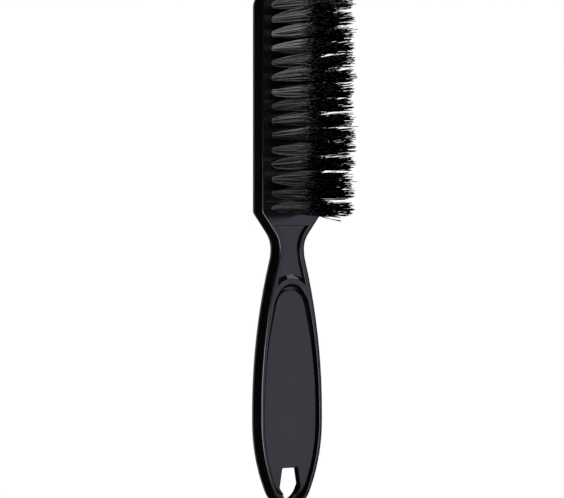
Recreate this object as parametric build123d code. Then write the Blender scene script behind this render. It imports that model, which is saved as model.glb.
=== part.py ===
"""Barber's fade brush: a one-piece plastic handle and head, set with 60 nylon tufts.

The brush lies on its flat back.  X runs across it, +Y towards the head's tip, +Z the way
the bristles point.  The origin is under the middle of its length, on the back's plane.
All sizes are in millimetres.
"""
from build123d import *
from math import acos, atan2, cos, sin
import os

# ---- driving dimensions: the moulding ----
LENGTH = 175.0
THICKNESS = 7.6

HEAD_WIDTH = 25.1
HEAD_CORNER_RADIUS = 6.0
SHOULDER_Y = 12.1           # where the head ends and the flare to the neck begins
SHOULDER_RADIUS = 2.0

NECK_WIDTH = 10.7           # narrowest, at Y = 0
NECK_FLARE_RADIUS = 8.2     # from the neck up into the flare

HANDLE_WIDTH = 25.8         # widest, where its sides run straight for a short way
STRAIGHT_TOP_Y = -55.0
STRAIGHT_BOTTOM_Y = -58.5
HANDLE_UPPER_RADIUS = 190.0  # long side curves above and below the straight
HANDLE_LOWER_RADIUS = 57.5

FRONT_EDGE_RADIUS = 0.9
BACK_EDGE_RADIUS = 3.4
INNER_EDGE_RADIUS = 0.25

# ---- driving dimensions: the recess in the neck, the leaf pocket and its raised pad ----
CHANNEL_DEPTH = 1.0
CHANNEL_TOP_Y = 7.9
CHANNEL_RIM = 2.2           # wall left on each side of the channel
COLLAR_TOP_Y = -10.0        # top of the arched ridge that closes the channel below
COLLAR_RADIUS = 8.2
COLLAR_FOOT_Y = -12.6       # where the arch runs out into the side rims
COLLAR_SLOPE = 1.4          # run of the ridge's slope down to the channel's floor

POCKET_HALF_WIDTH = 11.3
POCKET_TOP_Y = -13.0
POCKET_UPPER_RADIUS = 160.0
POCKET_LOWER_RADIUS = 55.9
POCKET_END_WALL = 1.6
GROOVE_DEPTH = 2.2          # floor of the groove round the pad
BEVEL_TOP_Y = -11.8         # the ridge's slope down into the pocket
BEVEL_RADIUS = 6.2
BEVEL_DEPTH = 1.0
PAD_DROP = 1.15              # pad's face below the rim
PAD_HALF_WIDTH = 10.7
PAD_TOP_Y = -13.75
PAD_UPPER_RADIUS = 138.0
PAD_LOWER_RADIUS = 55.3
PAD_END_WALL = 3.7
PAD_EDGE_SLOPE = 0.2

BACK_POCKET_DEPTH = 4.0
BACK_POCKET_INSET = 2.8     # the back's pocket is this much smaller all round
HOLE_RECESS_Y = -79.0       # middle of the round recess that widens it at the hanging hole
HOLE_RECESS_RADIUS = 9.0
HOLE_RECESS_INSET = 0.2

# ---- driving dimensions: the hanging hole ----
HOLE_TOP_Y = -74.2
HOLE_TOP_WIDTH = 6.1
HOLE_WIDEST_Y = -80.9
HOLE_WIDTH = 8.3
HOLE_END_Y = -85.0
HOLE_END_RADIUS = 2.4
HOLE_CORNER_RADIUS = 0.6
HOLE_EDGE_BREAK = 0.25      # slope that takes the sharpness off the hole's two edges

# ---- driving dimensions: the tufts and the flat wire that holds them ----
TUFT_ROWS = 15
TUFT_COLUMNS = 4
TUFT_PITCH = 4.9
FIRST_ROW_Y = 13.6
TUFT_HOLE_DIAMETER = 2.4
TUFT_HOLE_DEPTH = 4.3
TUFT_CLEARANCE = 0.03       # between a tuft's root and its hole
TUFT_HEIGHT = 22.7          # above the head's face
TUFT_TIP_DIAMETER = 4.8
TUFT_TIP_ROUND = 0.5

ANCHOR_THICKNESS = 0.4
ANCHOR_WIDTH = 2.9          # bites into the hole's wall on both sides
ANCHOR_HEIGHT = 1.6
ANCHOR_LIFT = 0.7           # above the hole's floor: the folded filaments pass under it
ANCHOR_CLEARANCE = 0.02

HALF_LENGTH = LENGTH / 2
PAST = 1.0                  # how far a cutting tool runs past the face that it opens


def end_radius(side_radius, half_width, reach):
    """Radius of the round end that closes two side arcs, reach away from where they start."""
    rise = side_radius ** 2 - (side_radius - half_width) ** 2 - reach ** 2
    return rise / (2 * (side_radius - reach))


def leaf_end(half_width, start_y, side_radius, tip_y):
    """One end of a leaf, right-hand half: a long side arc and the round end it runs into."""
    up = 1 if tip_y > start_y else -1
    radius = end_radius(side_radius, half_width, abs(tip_y - start_y))
    end_center = Vector(0, tip_y - up * radius)
    side_center = Vector(half_width - side_radius, start_y)
    joint = end_center + (end_center - side_center).normalized() * radius
    return [
        TangentArc((half_width, start_y), joint, tangent=(0, up)),
        TangentArc((0, tip_y), joint, tangent=(1, 0)),
    ]


def straight_side(half_width):
    """The short straight at a leaf's widest place."""
    return Line((half_width, STRAIGHT_TOP_Y), (half_width, STRAIGHT_BOTTOM_Y))


def with_mirror_image(edges):
    """The face bounded by the given right-hand edges and their mirror images."""
    return make_face(edges + [mirror(edge, about=Plane.YZ) for edge in edges])


def leaf_face(half_width, top_y, upper_radius, bottom_y, lower_radius):
    """A leaf: straight where it is widest, then long side arcs to a round end each way."""
    upper_end = leaf_end(half_width, STRAIGHT_TOP_Y, upper_radius, top_y)
    lower_end = leaf_end(half_width, STRAIGHT_BOTTOM_Y, lower_radius, bottom_y)
    return with_mirror_image(upper_end + [straight_side(half_width)] + lower_end)


def body_outline():
    """The moulding's outline: square head, flared shoulders, slim neck and leaf-shaped handle."""
    head_half = HEAD_WIDTH / 2
    neck_half = NECK_WIDTH / 2
    handle_half = HANDLE_WIDTH / 2

    # the flare is the line from the shoulder's corner that touches the upper neck arc
    shoulder = Vector(head_half, SHOULDER_Y)
    upper_center = Vector(neck_half + NECK_FLARE_RADIUS, 0)
    to_shoulder = shoulder - upper_center
    flare_angle = atan2(to_shoulder.Y, to_shoulder.X) + acos(NECK_FLARE_RADIUS / to_shoulder.length)
    flare_start = upper_center + Vector(cos(flare_angle), sin(flare_angle)) * NECK_FLARE_RADIUS

    # the lower neck arc touches the neck's narrowest place and the handle's long side arc
    side_center = Vector(handle_half - HANDLE_UPPER_RADIUS, STRAIGHT_TOP_Y)
    run = neck_half - side_center.X
    lower_radius = (run ** 2 + side_center.Y ** 2 - HANDLE_UPPER_RADIUS ** 2) / (
        2 * (HANDLE_UPPER_RADIUS - run))
    lower_center = Vector(neck_half + lower_radius, 0)
    side_start = lower_center + (side_center - lower_center).normalized() * lower_radius

    edges = [
        Line((0, HALF_LENGTH), (head_half, HALF_LENGTH)),
        Line((head_half, HALF_LENGTH), shoulder),
        Line(shoulder, flare_start),
        TangentArc((neck_half, 0), flare_start, tangent=(0, 1)),
        TangentArc((neck_half, 0), side_start, tangent=(0, -1)),
        TangentArc((handle_half, STRAIGHT_TOP_Y), side_start, tangent=(0, 1)),
        straight_side(handle_half),
    ]
    edges += leaf_end(handle_half, STRAIGHT_BOTTOM_Y, HANDLE_LOWER_RADIUS, -HALF_LENGTH)
    outline = with_mirror_image(edges)
    outline = fillet(corners_at(outline, HALF_LENGTH), HEAD_CORNER_RADIUS)
    return fillet(corners_at(outline, SHOULDER_Y), SHOULDER_RADIUS)


def corners_at(face, y):
    """The face's vertices at a given Y that are off the centre line."""
    return [v for v in face.vertices() if abs(v.Y - y) < 0.01 and abs(v.X) > 0.01]


def neck_channel(outline):
    """Cutter for the channel down the neck: flat at its top, closed below by an arched ridge."""
    window = Rectangle(HEAD_WIDTH, CHANNEL_TOP_Y - COLLAR_FOOT_Y)
    window = Pos(0, (CHANNEL_TOP_Y + COLLAR_FOOT_Y) / 2) * window
    plan = offset(outline, -CHANNEL_RIM) & window
    floor = THICKNESS - CHANNEL_DEPTH
    cutter = Pos(0, 0, floor) * extrude(plan, CHANNEL_DEPTH)
    ridge = Cone(COLLAR_RADIUS + COLLAR_SLOPE, COLLAR_RADIUS, CHANNEL_DEPTH)
    return cutter - Pos(0, COLLAR_TOP_Y - COLLAR_RADIUS, floor + CHANNEL_DEPTH / 2) * ridge


def pocket_face(inset=0.0):
    """Plan of the leaf-shaped pocket in the handle, made smaller all round by the inset."""
    return leaf_face(
        POCKET_HALF_WIDTH - inset,
        POCKET_TOP_Y - inset, POCKET_UPPER_RADIUS - inset,
        -HALF_LENGTH + POCKET_END_WALL + inset, POCKET_LOWER_RADIUS - inset)


def front_pocket():
    """Cutter for the pocket in the front: a groove round a raised pad, bevelled at its top."""
    floor = THICKNESS - GROOVE_DEPTH
    pad = extrude(leaf_face(
        PAD_HALF_WIDTH, PAD_TOP_Y, PAD_UPPER_RADIUS,
        -HALF_LENGTH + PAD_END_WALL, PAD_LOWER_RADIUS), GROOVE_DEPTH - PAD_DROP)
    pad = chamfer(pad.faces().sort_by(Axis.Z)[-1].edges(), PAD_EDGE_SLOPE)
    cutter = extrude(pocket_face(), GROOVE_DEPTH) - pad
    bevel = Cone(BEVEL_RADIUS - BEVEL_DEPTH, BEVEL_RADIUS, BEVEL_DEPTH)
    cutter += Pos(0, BEVEL_TOP_Y - BEVEL_RADIUS, GROOVE_DEPTH - BEVEL_DEPTH / 2) * bevel
    return Pos(0, 0, floor) * cutter


def hanging_hole():
    """Cutter for the hole: flat at its top, widening downwards, then drawn in to a round end."""
    top = HOLE_TOP_WIDTH / 2
    wide = HOLE_WIDTH / 2
    upper = Polyline((-wide, HOLE_WIDEST_Y), (-top, HOLE_TOP_Y), (top, HOLE_TOP_Y), (wide, HOLE_WIDEST_Y))
    end = CenterArc((0, HOLE_END_Y + HOLE_END_RADIUS), HOLE_END_RADIUS, 0, 360)
    plan = make_hull(upper.edges() + end.edges())
    corners = corners_at(plan, HOLE_TOP_Y) + corners_at(plan, HOLE_WIDEST_Y)
    plan = fillet(corners, HOLE_CORNER_RADIUS)
    through = Pos(0, 0, -PAST) * extrude(plan, THICKNESS + 2 * PAST)
    flare = extrude(plan, HOLE_EDGE_BREAK, taper=-45)
    front_flare = Pos(0, 0, THICKNESS - PAD_DROP - HOLE_EDGE_BREAK) * flare
    back_flare = Pos(0, 0, BACK_POCKET_DEPTH + HOLE_EDGE_BREAK) * mirror(flare, about=Plane.XY)
    return through + front_flare + back_flare


def hole_recess():
    """Cutter that widens the back's pocket, so that the wall round the hanging hole is thin."""
    disc = Pos(0, HOLE_RECESS_Y) * Circle(HOLE_RECESS_RADIUS)
    plan = disc & pocket_face(HOLE_RECESS_INSET)
    return Pos(0, 0, -PAST) * extrude(plan, BACK_POCKET_DEPTH + PAST)


def moulding():
    """The plastic moulding without the holes for the tufts."""
    outline = body_outline()
    body = extrude(outline, THICKNESS)
    body = fillet(body.faces().sort_by(Axis.Z)[0].edges(), BACK_EDGE_RADIUS)
    body = fillet(body.faces().sort_by(Axis.Z)[-1].edges(), FRONT_EDGE_RADIUS)
    body -= neck_channel(outline)
    body -= front_pocket()
    body -= extrude(pocket_face(BACK_POCKET_INSET), BACK_POCKET_DEPTH)
    level = body.faces().filter_by(Axis.Z).sort_by(Axis.Z)
    rims = level[-1].inner_wires() + level[0].inner_wires()
    body = fillet([edge for rim in rims for edge in rim.edges()], INNER_EDGE_RADIUS)
    return body - hole_recess() - hanging_hole()


def tuft_places():
    """Centres of the tufts, one list for each row across the head."""
    columns = [(c - (TUFT_COLUMNS - 1) / 2) * TUFT_PITCH for c in range(TUFT_COLUMNS)]
    return [[(x, FIRST_ROW_Y + row * TUFT_PITCH) for x in columns] for row in range(TUFT_ROWS)]


def tuft_hole():
    """Cutter for one tuft's blind hole, with the slits that its anchor is driven into."""
    depth = TUFT_HOLE_DEPTH + PAST
    floor = THICKNESS - TUFT_HOLE_DEPTH
    hole = Pos(0, 0, floor + depth / 2) * Cylinder(TUFT_HOLE_DIAMETER / 2, depth)
    slit = Box(
        ANCHOR_WIDTH + 2 * ANCHOR_CLEARANCE,
        ANCHOR_THICKNESS + 2 * ANCHOR_CLEARANCE,
        ANCHOR_HEIGHT + 2 * ANCHOR_CLEARANCE)
    return hole + Pos(0, 0, anchor_height()) * slit


def anchor_height():
    """Height of an anchor's middle above the brush's back."""
    return THICKNESS - TUFT_HOLE_DEPTH + ANCHOR_LIFT + ANCHOR_HEIGHT / 2


def anchor():
    """One anchor: a short piece of flat wire, chisel-ended where it bites into the plastic."""
    wire = Box(ANCHOR_WIDTH, ANCHOR_THICKNESS, ANCHOR_HEIGHT)
    lower_ends = wire.faces().sort_by(Axis.Z)[0].edges().filter_by(Axis.Y)
    return Pos(0, 0, anchor_height()) * chamfer(lower_ends, ANCHOR_THICKNESS)


def tuft():
    """One tuft: filaments folded round the anchor, a round root, then a flared bundle."""
    root_radius = TUFT_HOLE_DIAMETER / 2 - TUFT_CLEARANCE
    root_height = TUFT_HOLE_DEPTH - TUFT_CLEARANCE
    root = Pos(0, 0, THICKNESS - root_height / 2) * Cylinder(root_radius, root_height)
    bundle = Cone(root_radius, TUFT_TIP_DIAMETER / 2, TUFT_HEIGHT)
    bundle = fillet(bundle.faces().sort_by(Axis.Z)[-1].edges(), TUFT_TIP_ROUND)
    fold = Box(
        TUFT_HOLE_DIAMETER,
        ANCHOR_THICKNESS + 2 * ANCHOR_CLEARANCE,
        ANCHOR_HEIGHT + 2 * ANCHOR_CLEARANCE)
    whole = root + Pos(0, 0, THICKNESS + TUFT_HEIGHT / 2) * bundle
    return whole - Pos(0, 0, anchor_height()) * fold


def row_of(piece, places):
    """Copies of one piece at each place, as a group of separate solids."""
    return Compound(children=[Pos(x, y) * piece for x, y in places])


def main():
    os.makedirs("parts", exist_ok=True)
    rows = tuft_places()
    holes = [Pos(x, y) * tuft_hole() for row in rows for x, y in row]
    export_step(moulding() - holes, "parts/brush_body.step")
    for number, places in enumerate(rows, start=1):
        export_step(row_of(tuft(), places), f"parts/tuft_row_{number:02d}.step")
        export_step(row_of(anchor(), places), f"parts/anchor_row_{number:02d}.step")


main()
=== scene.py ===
"""Fade brush: the visual model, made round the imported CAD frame.

The moulding and the anchors are the CAD's own nodes with procedural materials.  Each row of
solid tufts is replaced by real filaments: every filament is one bent tube, folded in two under
its anchor, so both of its ends stand up out of the hole.  All sizes are in metres.
"""
from math import cos, pi, radians, sin, sqrt

import bpy
import numpy as np
from mathutils import Matrix, Vector


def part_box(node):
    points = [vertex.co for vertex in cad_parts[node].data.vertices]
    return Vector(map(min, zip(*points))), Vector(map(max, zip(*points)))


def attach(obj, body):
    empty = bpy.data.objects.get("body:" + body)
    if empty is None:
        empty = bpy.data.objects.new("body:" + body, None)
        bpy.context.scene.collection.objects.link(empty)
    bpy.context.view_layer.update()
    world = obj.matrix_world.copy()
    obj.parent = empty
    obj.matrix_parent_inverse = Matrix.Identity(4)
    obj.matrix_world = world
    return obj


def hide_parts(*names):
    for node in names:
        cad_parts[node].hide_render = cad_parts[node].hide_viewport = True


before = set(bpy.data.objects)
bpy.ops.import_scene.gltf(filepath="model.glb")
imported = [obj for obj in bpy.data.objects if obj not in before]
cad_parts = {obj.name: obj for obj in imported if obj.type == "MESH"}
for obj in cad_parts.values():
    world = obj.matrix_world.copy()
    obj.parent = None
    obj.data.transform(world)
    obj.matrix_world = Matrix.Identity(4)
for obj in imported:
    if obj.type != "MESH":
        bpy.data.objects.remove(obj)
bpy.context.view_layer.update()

MM = 0.001
BODY = "brush_body"
ROWS = 15
COLUMNS = 4
SEED = 4117

BODY_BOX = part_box(BODY)
FACE_Z = BODY_BOX[1].z               # the head's face, where the tufts come out
BACK_Z = BODY_BOX[0].z

# ---- the filaments ----
FILAMENT_RADIUS = 0.115 * MM
FILAMENT_SIDES = 5
HOLE_RADIUS = 1.2 * MM
ANCHOR_HALF = 0.2 * MM               # half the anchor's thickness, kept clear by the filaments
TIP_RAGGED = 1.6 * MM                # how much shorter than the longest a filament may be
TIP_JITTER = 0.30 * MM
TIP_SPREAD = 1.25                    # the tips reach this many times as far out as the solid's rim
TUFT_LEAN = 0.40 * MM                # about how far a whole tuft leans, at its tip
FAN_CURVE = 0.68                     # below 1 the filaments fan out soonest near the face
CLUMPS = 7                           # a tuft's filaments lean together in this many bundles
CLUMP_PULL = 0.18                    # how far an end is drawn to its bundle, as a share of the way
CLUMP_TURN = 0.25                    # how unevenly the bundles stand round the tuft, in radians
CLUMP_REACH = (0.55, 0.85)           # how far out the bundles lean, as a share of the tip's radius
CLUMP_UNEVENNESS = (0.5, 1.3)
STRAY_SHARE = 0.07                   # this share of the ends goes its own way
STRAY_REACH = 0.8 * MM
RAGGED_CURVE = 1.6                   # above 1 most ends are nearly as long as the longest
BOW = 0.22 * MM                      # about how far an end bows out halfway up
# where an end has its rings, as shares of its height
RING_HEIGHTS = (1.0, 0.93, 0.80, 0.65, 0.50, 0.35, 0.20, 0.08, 0.0)
FOLD_WIDTH = 0.72                    # the fold's shoulders, as a share of its half width
FOLD_SHOULDER = 0.7                  # and of its depth
SHADE_CURVE = 1.3                    # above 1 most filaments are dark
LEAST_SHADE = 0.06
PAINTED_SHADE_TIP_RINGS = 2                       # rings of each tip coloured dark as painted shade, and made dull
LOOSE_FILAMENTS = 2                  # bent right out of the first row's last tuft
LOOSE_LEAN = (-0.8 * MM, -3.4 * MM)  # how far their tips lean
LOOSE_UNEVENNESS = (0.8, 1.1)

# ---- the camera ----
VIEW_TILT = radians(35.0)            # the camera leans this far to -X from straight above
VIEW_DISTANCE = 0.9
VIEW_WIDTH = 0.1905                  # width of what the camera sees at the brush
VIEW_OFF_AXIS = 0.0042               # the view's centre lies this far to -X of the brush's middle
SENSOR_WIDTH = 36.0

# ---- the surroundings ----
COOL_LIGHT = (0.96, 0.94, 1.13)      # daylight through a diffuser
WARM_LIGHT = (1.03, 0.98, 1.0)
ROOM_LIGHT = 0.006
GLOW_LIGHT = 0.50
BACKDROP_LIGHT = 0.9
FLOOR_GAP = 0.2 * MM                 # keeps the floor off the brush's flat back
GLOW_START_Z = -0.84                 # the glow begins this far down the sky, on a scale of -1 to 1
FLOOR_HALF = 3.0                     # half the floor's width
CLIP_START = 0.01

# ---- the materials ----
MOULDED_DARK, MOULDED_LIGHT = 0.0045, 0.0070
MOULDED_BLUE_DARK, MOULDED_BLUE_LIGHT = 1.08, 1.12
SPECK_GREY = 0.02
GLOSS_LOW, GLOSS_HIGH = 0.12, 0.17   # roughness of the moulding's skin
SCUFF_ROUGHNESS = 0.10               # the most that a scuff adds to it
PEEL_DEPTH = 0.02 * MM
GRAIN_DEPTH = 0.004 * MM
MOULDED_IOR = 1.49
NYLON_DARK, NYLON_LIGHT = 0.004, 0.060
NYLON_DULL = 0.90                    # roughness of the tip rings that are coloured dark as painted shade
NYLON_DRAWN_DEPTH = 0.008 * MM
NYLON_IOR = 1.53
BRASS_BRIGHT = (0.74, 0.55, 0.25, 1)
BRASS_TARNISHED = (0.52, 0.37, 0.17, 1)
WIRE_DRAWN_DEPTH = 0.006 * MM


# ---------------------------------------------------------------- node helpers
class Nodes:
    """A small helper that adds nodes to one material and links them."""

    def __init__(self, name):
        self.material = bpy.data.materials.new(name)
        self.material.use_nodes = True
        self.tree = self.material.node_tree
        self.shader = self.tree.nodes["Principled BSDF"]

    def add(self, kind, inputs=None, **settings):
        node = self.tree.nodes.new(kind)
        for key, value in settings.items():
            setattr(node, key, value)
        for key, value in (inputs or {}).items():
            self.put(node.inputs[key], value)
        return node

    def put(self, socket, value):
        """Links an output to the socket, or sets the socket's own value."""
        if isinstance(value, bpy.types.NodeSocket):
            self.tree.links.new(value, socket)
        else:
            socket.default_value = value

    def set(self, **values):
        for key, value in values.items():
            self.put(self.shader.inputs[key.replace("_", " ")], value)

    def object_coords(self, scale=(1, 1, 1)):
        coords = self.add("ShaderNodeTexCoord").outputs["Object"]
        return self.add("ShaderNodeMapping", {"Vector": coords, "Scale": scale}).outputs[0]

    def noise(self, vector, scale, detail=3.0, roughness=0.5):
        inputs = {"Vector": vector, "Scale": scale, "Detail": detail, "Roughness": roughness}
        return self.add("ShaderNodeTexNoise", inputs).outputs["Fac"]

    def ramp(self, value, low, high, out_low, out_high):
        """Maps low..high to out_low..out_high, held at the ends."""
        inputs = {"Value": value, "From Min": low, "From Max": high,
                  "To Min": out_low, "To Max": out_high}
        return self.add("ShaderNodeMapRange", inputs).outputs["Result"]

    def mix(self, factor, first, second):
        node = self.add("ShaderNodeMix", data_type="RGBA")
        self.put(node.inputs["Factor"], factor)
        self.put(node.inputs[6], first)
        self.put(node.inputs[7], second)
        return node.outputs[2]

    def math(self, operation, first, second):
        node = self.add("ShaderNodeMath", operation=operation)
        self.put(node.inputs[0], first)
        self.put(node.inputs[1], second)
        return node.outputs[0]

    def bump(self, height, distance, strength=1.0, normal=None):
        inputs = {"Height": height, "Distance": distance, "Strength": strength}
        if normal is not None:
            inputs["Normal"] = normal
        return self.add("ShaderNodeBump", inputs).outputs["Normal"]


def grey(value, blue=1.0):
    return (value, value, value * blue, 1.0)


# ---------------------------------------------------------------- materials
def moulded_plastic():
    """Black polypropylene: satin-gloss skin, faint flow mottle, orange peel and handling marks."""
    m = Nodes("moulded_black_plastic")
    here = m.object_coords()
    along = m.object_coords((1.0, 0.12, 1.0))

    mottle = m.noise(along, 220.0, 4.0, 0.6)
    base = m.mix(m.ramp(mottle, 0.35, 0.65, 0.0, 1.0),
                 grey(MOULDED_DARK, MOULDED_BLUE_DARK), grey(MOULDED_LIGHT, MOULDED_BLUE_LIGHT))
    specks = m.ramp(m.noise(here, 5200.0, 1.0), 0.74, 0.80, 0.0, 0.5)
    base = m.mix(specks, base, grey(SPECK_GREY))

    patches = m.ramp(m.noise(here, 95.0, 5.0, 0.55), 0.35, 0.7, GLOSS_LOW, GLOSS_HIGH)
    strokes = m.noise(m.object_coords((1.0, 0.05, 1.0)), 2600.0, 2.0)
    scuffs = m.ramp(strokes, 0.62, 0.74, 0.0, SCUFF_ROUGHNESS)
    peel = m.noise(here, 900.0, 2.0, 0.5)
    grain = m.noise(here, 9000.0, 2.0, 0.6)
    normal = m.bump(peel, PEEL_DEPTH, 0.5)
    normal = m.bump(grain, GRAIN_DEPTH, 0.5, normal)
    m.set(Base_Color=base, Roughness=m.math("ADD", patches, scuffs), Normal=normal,
          IOR=MOULDED_IOR)
    return m.material


def bristle_nylon():
    """Black nylon filament: each one a little lighter or darker, its tips painted dark as shade,
    drawn lines along it.
    """
    m = Nodes("black_nylon_filament")
    # shade holds each filament's own random tone, and 0 on the tip rings as painted shade
    shade = m.add("ShaderNodeAttribute", attribute_name="shade").outputs["Fac"]
    base = m.mix(shade, grey(NYLON_DARK), grey(NYLON_LIGHT))
    drawn = m.noise(m.object_coords((1.0, 1.0, 0.02)), 16000.0, 2.0)
    # smooth is 0 on the tip rings painted dark as shade; there the roughness rises to NYLON_DULL
    smooth = m.ramp(shade, 0.0, 0.05, 0.0, 1.0)
    shine = m.math("MULTIPLY", smooth, m.ramp(drawn, 0.3, 0.7, 0.56, 0.40))
    m.set(Base_Color=base, Roughness=m.math("SUBTRACT", NYLON_DULL, shine),
          Normal=m.bump(drawn, NYLON_DRAWN_DEPTH, 0.6), IOR=NYLON_IOR)
    return m.material


def anchor_brass():
    """Drawn flat brass wire: fine lines along it and a dull film."""
    m = Nodes("drawn_brass_wire")
    drawn = m.noise(m.object_coords((0.05, 1.0, 1.0)), 9000.0, 3.0)
    film = m.noise(m.object_coords(), 1500.0, 3.0)
    base = m.mix(m.ramp(film, 0.35, 0.7, 0.0, 1.0), BRASS_BRIGHT, BRASS_TARNISHED)
    m.set(Base_Color=base, Metallic=1.0, Roughness=m.ramp(drawn, 0.3, 0.7, 0.22, 0.42),
          Normal=m.bump(drawn, WIRE_DRAWN_DEPTH, 0.6))
    return m.material


def assign(node, material):
    """Gives a CAD node's object one material in all its slots."""
    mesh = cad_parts[node].data
    for slot in range(max(1, len(mesh.materials))):
        if slot < len(mesh.materials):
            mesh.materials[slot] = material
        else:
            mesh.materials.append(material)


# ---------------------------------------------------------------- filaments
def filament_places():
    """Where each folded filament crosses one half of its hole: a hexagonal packing."""
    step = 2 * FILAMENT_RADIUS
    reach = HOLE_RADIUS - FILAMENT_RADIUS
    places = []
    lowest = ANCHOR_HALF + FILAMENT_RADIUS
    line = 0
    while lowest + line * step * sqrt(3) / 2 < reach:
        y = lowest + line * step * sqrt(3) / 2
        half = sqrt(reach ** 2 - y ** 2)
        count = int(2 * half / step)
        for k in range(count + 1):
            places.append(((k - count / 2) * step, y))
        line += 1
    return places


def clump_centres(rng, tip_radius):
    """Where a tuft's bundles of filaments lean to, at its tip."""
    turn = rng.uniform(0, 2 * pi)
    centres = []
    for k in range(CLUMPS):
        angle = turn + 2 * pi * k / CLUMPS + rng.normal(0, CLUMP_TURN)
        radius = tip_radius * rng.uniform(*CLUMP_REACH)
        centres.append((radius * cos(angle), radius * sin(angle)))
    return np.array(centres)


def standing_end(rng, x, y, tip_radius, height, clumps, tuft_lean):
    """Points of one filament's free end, from its tip down to the head's face."""
    spread = TIP_SPREAD * tip_radius / HOLE_RADIUS
    tip = np.array([x, y]) * spread + rng.normal(0, TIP_JITTER, 2)
    nearest = clumps[np.argmin(((clumps - tip) ** 2).sum(axis=1))]
    tip += (nearest - tip) * CLUMP_PULL * rng.uniform(*CLUMP_UNEVENNESS) + tuft_lean
    if rng.random() < STRAY_SHARE:
        tip += rng.normal(0, STRAY_REACH, 2)
    tip_height = height - TIP_RAGGED * rng.random() ** RAGGED_CURVE
    bow = rng.normal(0, BOW, 2)
    points = []
    for s in RING_HEIGHTS:
        lean = s ** FAN_CURVE
        sway = bow * sin(pi * s)
        px = x + (tip[0] - x) * lean + sway[0]
        py = y + (tip[1] - y) * lean + sway[1]
        points.append((px, py, tip_height * s))
    return points


def folded_filament(rng, x, y, levels, tip_radius, clumps, tuft_lean):
    """Points of one whole filament: tip, down one side, under the anchor, up to the other tip."""
    face, anchor_top, anchor_bottom, hole_floor = levels
    room_at_face = HOLE_RADIUS - FILAMENT_RADIUS * 2
    room_at_anchor = HOLE_RADIUS - ANCHOR_HALF - FILAMENT_RADIUS * 2
    neck_y = FILAMENT_RADIUS + (y - ANCHOR_HALF - FILAMENT_RADIUS) * (room_at_face / room_at_anchor)
    height = face["tip"] - face["z"]
    halves = []
    for side in (1, -1):
        free = [(px, py, face["z"] + pz) for px, py, pz in
                standing_end(rng, x, side * neck_y, tip_radius, height, clumps, tuft_lean)]
        inside = [(x, side * y, anchor_top), (x, side * y, anchor_bottom)]
        halves.append(free + inside)
    depth = (anchor_bottom - hole_floor - FILAMENT_RADIUS) * (y / HOLE_RADIUS)
    shoulder_z = anchor_bottom - depth * FOLD_SHOULDER
    fold = [(x, y * FOLD_WIDTH, shoulder_z),
            (x, 0.0, anchor_bottom - depth),
            (x, -y * FOLD_WIDTH, shoulder_z)]
    return halves[0] + fold + halves[1][::-1]


def filament_shades(rng, rings):
    """One filament's lightness at each vertex, with the rings at both tips painted dark as shade.
    """
    along = np.full(rings, LEAST_SHADE + (1 - LEAST_SHADE) * rng.random() ** SHADE_CURVE)
    # the tip rings get the darkest colour: painted shade, standing in for the shade among the
    # tuft's ends
    along[:PAINTED_SHADE_TIP_RINGS] = along[-PAINTED_SHADE_TIP_RINGS:] = 0.0
    return np.repeat(along, FILAMENT_SIDES).tolist()


def tube(points, radius, sides):
    """Vertices and faces of a closed tube along the points."""
    path = np.array(points)
    tangent = np.gradient(path, axis=0)
    tangent /= np.linalg.norm(tangent, axis=1)[:, None]
    across = np.array([1.0, 0, 0]) - tangent * tangent[:, :1]
    across /= np.linalg.norm(across, axis=1)[:, None]
    other = np.cross(tangent, across)
    rings = []
    for k in range(sides):
        angle = 2 * pi * k / sides
        rings.append(path + radius * (cos(angle) * across + sin(angle) * other))
    verts = np.stack(rings, axis=1).reshape(-1, 3)
    faces = []
    for ring in range(len(path) - 1):
        for k in range(sides):
            a = ring * sides + k
            b = ring * sides + (k + 1) % sides
            faces.append((a, b, b + sides, a + sides))
    last = (len(path) - 1) * sides
    faces.append(tuple(range(sides - 1, -1, -1)))
    faces.append(tuple(last + k for k in range(sides)))
    return verts, faces


def bristle_row(number, material):
    """One row of four tufts as one mesh of separate filaments."""
    name = f"tuft_row_{number:02d}"
    low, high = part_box(name)
    anchor_low, anchor_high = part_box(f"anchor_row_{number:02d}")
    rng = np.random.default_rng(SEED + number)
    tip_radius = (high.y - low.y) / 2
    middle_y = (high.y + low.y) / 2
    levels = ({"z": FACE_Z, "tip": high.z}, anchor_high.z, anchor_low.z, low.z)
    places = filament_places()

    verts, faces, shades = [], [], []
    start = 0
    for column in range(COLUMNS):
        share = column / (COLUMNS - 1)
        middle_x = (low.x + tip_radius) * (1 - share) + (high.x - tip_radius) * share
        clumps = clump_centres(rng, tip_radius)
        tuft_lean = rng.normal(0, TUFT_LEAN, 2)
        for place, (x, y) in enumerate(places):
            loose = number == 1 and column == COLUMNS - 1 and place < LOOSE_FILAMENTS
            lean = np.array(LOOSE_LEAN) * rng.uniform(*LOOSE_UNEVENNESS) if loose else tuft_lean
            points = folded_filament(rng, x, y, levels, tip_radius, clumps, lean)
            ring_verts, ring_faces = tube(points, FILAMENT_RADIUS, FILAMENT_SIDES)
            verts.append(ring_verts + np.array([middle_x, middle_y, 0.0]))
            faces += [tuple(start + i for i in face) for face in ring_faces]
            shades += filament_shades(rng, len(points))
            start += len(ring_verts)

    mesh = bpy.data.meshes.new(f"bristles_row_{number:02d}")
    mesh.from_pydata(np.concatenate(verts).tolist(), [], faces)
    # shade: each filament's random tone, and the painted shade on its tips
    shade = mesh.attributes.new("shade", "FLOAT", "POINT")
    shade.data.foreach_set("value", np.array(shades, dtype=np.float32))
    mesh.polygons.foreach_set("use_smooth", [len(face) == 4 for face in faces])
    mesh.materials.append(material)
    mesh.update()
    piece = bpy.data.objects.new(mesh.name, mesh)
    bpy.context.collection.objects.link(piece)
    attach(piece, "root")
    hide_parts(name)
    return piece


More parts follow.
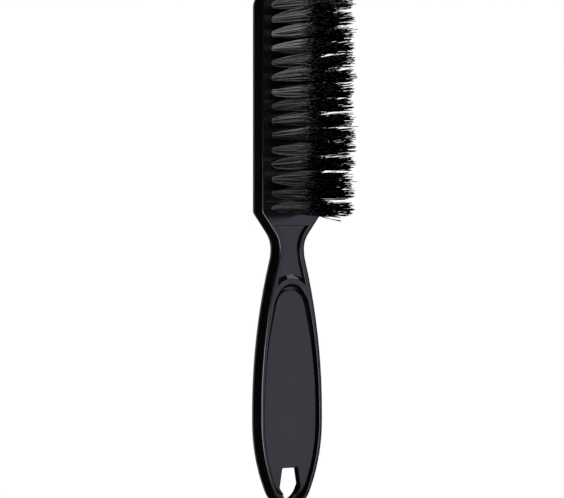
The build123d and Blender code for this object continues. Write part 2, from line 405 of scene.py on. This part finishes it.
# ---------------------------------------------------------------- stage, camera and lights
def floor():
    """A plain white floor under the brush, which doesn't show in the plastic's gloss."""
    mesh = bpy.data.meshes.new("floor")
    signs = [(-1, -1), (1, -1), (1, 1), (-1, 1)]
    corners = [(x * FLOOR_HALF, y * FLOOR_HALF, BACK_Z - FLOOR_GAP) for x, y in signs]
    mesh.from_pydata(corners, [], [(0, 1, 2, 3)])
    plane = bpy.data.objects.new("floor", mesh)
    bpy.context.collection.objects.link(plane)
    m = Nodes("white_floor")
    tone = m.noise(m.object_coords(), 3.0)
    colour = m.mix(tone, grey(0.90), grey(0.93))
    m.set(Base_Color=colour, Roughness=0.9, Emission_Color=grey(1.0), Emission_Strength=1.0)
    mesh.materials.append(m.material)
    plane.visible_glossy = False
    plane.visible_diffuse = False


def camera():
    toward = Vector((-sin(VIEW_TILT), 0, cos(VIEW_TILT)))
    right = Vector((cos(VIEW_TILT), 0, sin(VIEW_TILT)))
    up = Vector((0, 1, 0))
    middle_y = (BODY_BOX[0].y + BODY_BOX[1].y) / 2
    aim = Vector((-VIEW_OFF_AXIS, middle_y, FACE_Z))
    data = bpy.data.cameras.new("camera")
    data.sensor_width = SENSOR_WIDTH
    data.lens = SENSOR_WIDTH * VIEW_DISTANCE / VIEW_WIDTH
    data.clip_start = CLIP_START
    eye = bpy.data.objects.new("camera", data)
    turn = Matrix((right, up, toward)).transposed().to_4x4()
    eye.matrix_world = Matrix.Translation(aim + toward * VIEW_DISTANCE) @ turn
    bpy.context.collection.objects.link(eye)
    bpy.context.scene.camera = eye


def panel(name, place, width, height, brightness, colour, lights_only):
    """A soft light panel, turned towards the brush's middle, that lights only some pieces.

    Its place and size are in metres; its brightness is that of its own surface.
    """
    data = bpy.data.lights.new(name, "AREA")
    data.shape = "RECTANGLE"
    data.size = width
    data.size_y = height
    data.energy = brightness * pi * width * height
    data.color = colour
    lamp = bpy.data.objects.new(name, data)
    lamp.location = place
    lamp.rotation_mode = "QUATERNION"
    lamp.rotation_quaternion = Vector(place).to_track_quat("Z", "Y")
    lamp.visible_camera = False
    lamp.light_linking.receiver_collection = lights_only
    bpy.context.collection.objects.link(lamp)


def receivers(name, pieces):
    """A group of pieces that a lamp may be kept to."""
    group = bpy.data.collections.new(name)
    for piece in pieces:
        group.objects.link(piece)
    return group


def surroundings():
    """A dark room behind a pale backdrop, with a glow from straight below, off the table."""
    world = bpy.data.worlds.new("studio")
    world.use_nodes = True
    tree = world.node_tree
    coords = tree.nodes.new("ShaderNodeTexCoord")
    parts = tree.nodes.new("ShaderNodeSeparateXYZ")
    glow = tree.nodes.new("ShaderNodeMapRange")
    tree.links.new(coords.outputs["Generated"], parts.inputs[0])
    tree.links.new(parts.outputs["Z"], glow.inputs["Value"])
    for key, value in (("From Min", GLOW_START_Z), ("From Max", -1.0),
                       ("To Min", ROOM_LIGHT), ("To Max", GLOW_LIGHT)):
        glow.inputs[key].default_value = value
    path = tree.nodes.new("ShaderNodeLightPath")
    backdrop = tree.nodes.new("ShaderNodeMath")
    backdrop.operation = "MULTIPLY"
    backdrop.inputs[1].default_value = BACKDROP_LIGHT
    tree.links.new(path.outputs["Is Camera Ray"], backdrop.inputs[0])
    total = tree.nodes.new("ShaderNodeMath")
    total.operation = "ADD"
    tree.links.new(glow.outputs["Result"], total.inputs[0])
    tree.links.new(backdrop.outputs[0], total.inputs[1])
    background = tree.nodes["Background"]
    background.inputs["Color"].default_value = (1, 1, 1, 1)
    tree.links.new(total.outputs[0], background.inputs["Strength"])
    bpy.context.scene.world = world


def studio(plastic, bristles):
    surroundings()
    plastic_only = receivers("plastic_pieces", plastic)
    bristles_only = receivers("bristle_pieces", bristles)
    panel("face_panel", (0.344, -0.12, 0.491), 0.5, 0.27, 0.60, COOL_LIGHT, plastic_only)
    panel("neck_panel", (0.115, -0.012, 0.164), 0.17, 0.04, 0.40, COOL_LIGHT, plastic_only)
    panel("rim_panel", (-0.060, -0.070, 0.295), 0.21, 0.125, 7.5, COOL_LIGHT, plastic_only)
    panel("tip_end_panel", (0.40, 0.54, 0.16), 0.4, 0.36, 1.9, COOL_LIGHT, plastic_only)
    panel("bristle_lamp", (-0.085, 0.135, 0.020), 0.06, 0.06, 62.0, WARM_LIGHT, bristles_only)
    bpy.context.scene.view_settings.view_transform = "Standard"


# ---------------------------------------------------------------- make everything
camera()
floor()
assign(BODY, moulded_plastic())
filament_material = bristle_nylon()
brass = anchor_brass()
plastic = [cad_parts[BODY]]
bristles = []
for row in range(1, ROWS + 1):
    assign(f"anchor_row_{row:02d}", brass)
    plastic.append(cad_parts[f"anchor_row_{row:02d}"])
    bristles.append(bristle_row(row, filament_material))
studio(plastic, bristles)
